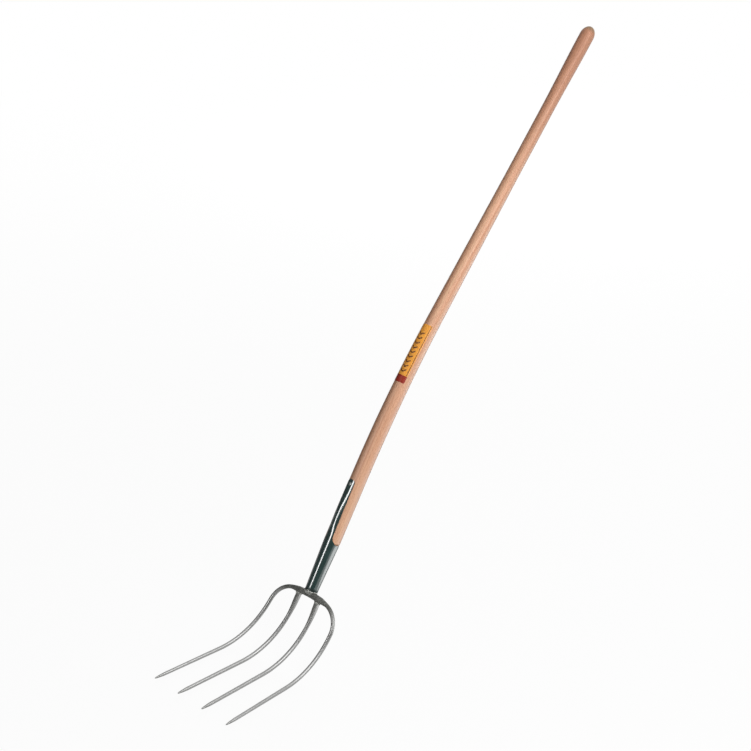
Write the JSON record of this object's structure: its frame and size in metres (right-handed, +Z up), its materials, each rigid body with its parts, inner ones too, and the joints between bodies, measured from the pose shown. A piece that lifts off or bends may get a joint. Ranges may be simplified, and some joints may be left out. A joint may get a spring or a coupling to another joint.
{
  "type": "manure fork",
  "caption": "Manure fork: slim curved steel tines on a forged bow, a painted steel socket with a long tongue, and a long, gently bent wooden handle with a domed knob.",
  "frame": {"origin": "on the ground, under the middle of the tool's bounding box, with the tines lying flat", "axes": "+Z up from the ground, +Y from the tips of the tines back towards the handle, +X to the right seen from the tips"},
  "size_m": [0.2302, 1.2019, 1.1847],
  "materials": {
    "handle_wood": "turned, thin clear lacquer",
    "socket_paint": "glossy dark green paint",
    "tine_steel": "forged, ground and lacquered",
    "weld_steel": "raw weld bead",
    "nail_steel": "bright",
    "label_vinyl": "glossy sticker"
  },
  "bodies": {
    "root": {"handle": "handle_wood", "socket": "socket_paint", "outer_bow": "tine_steel", "inner_tine_left": "tine_steel", "inner_tine_right": "tine_steel", "tine_welds": "weld_steel", "socket_weld": "weld_steel", "tongue_nail": "nail_steel", "label": "label_vinyl"}
  },
  "joints": []
}
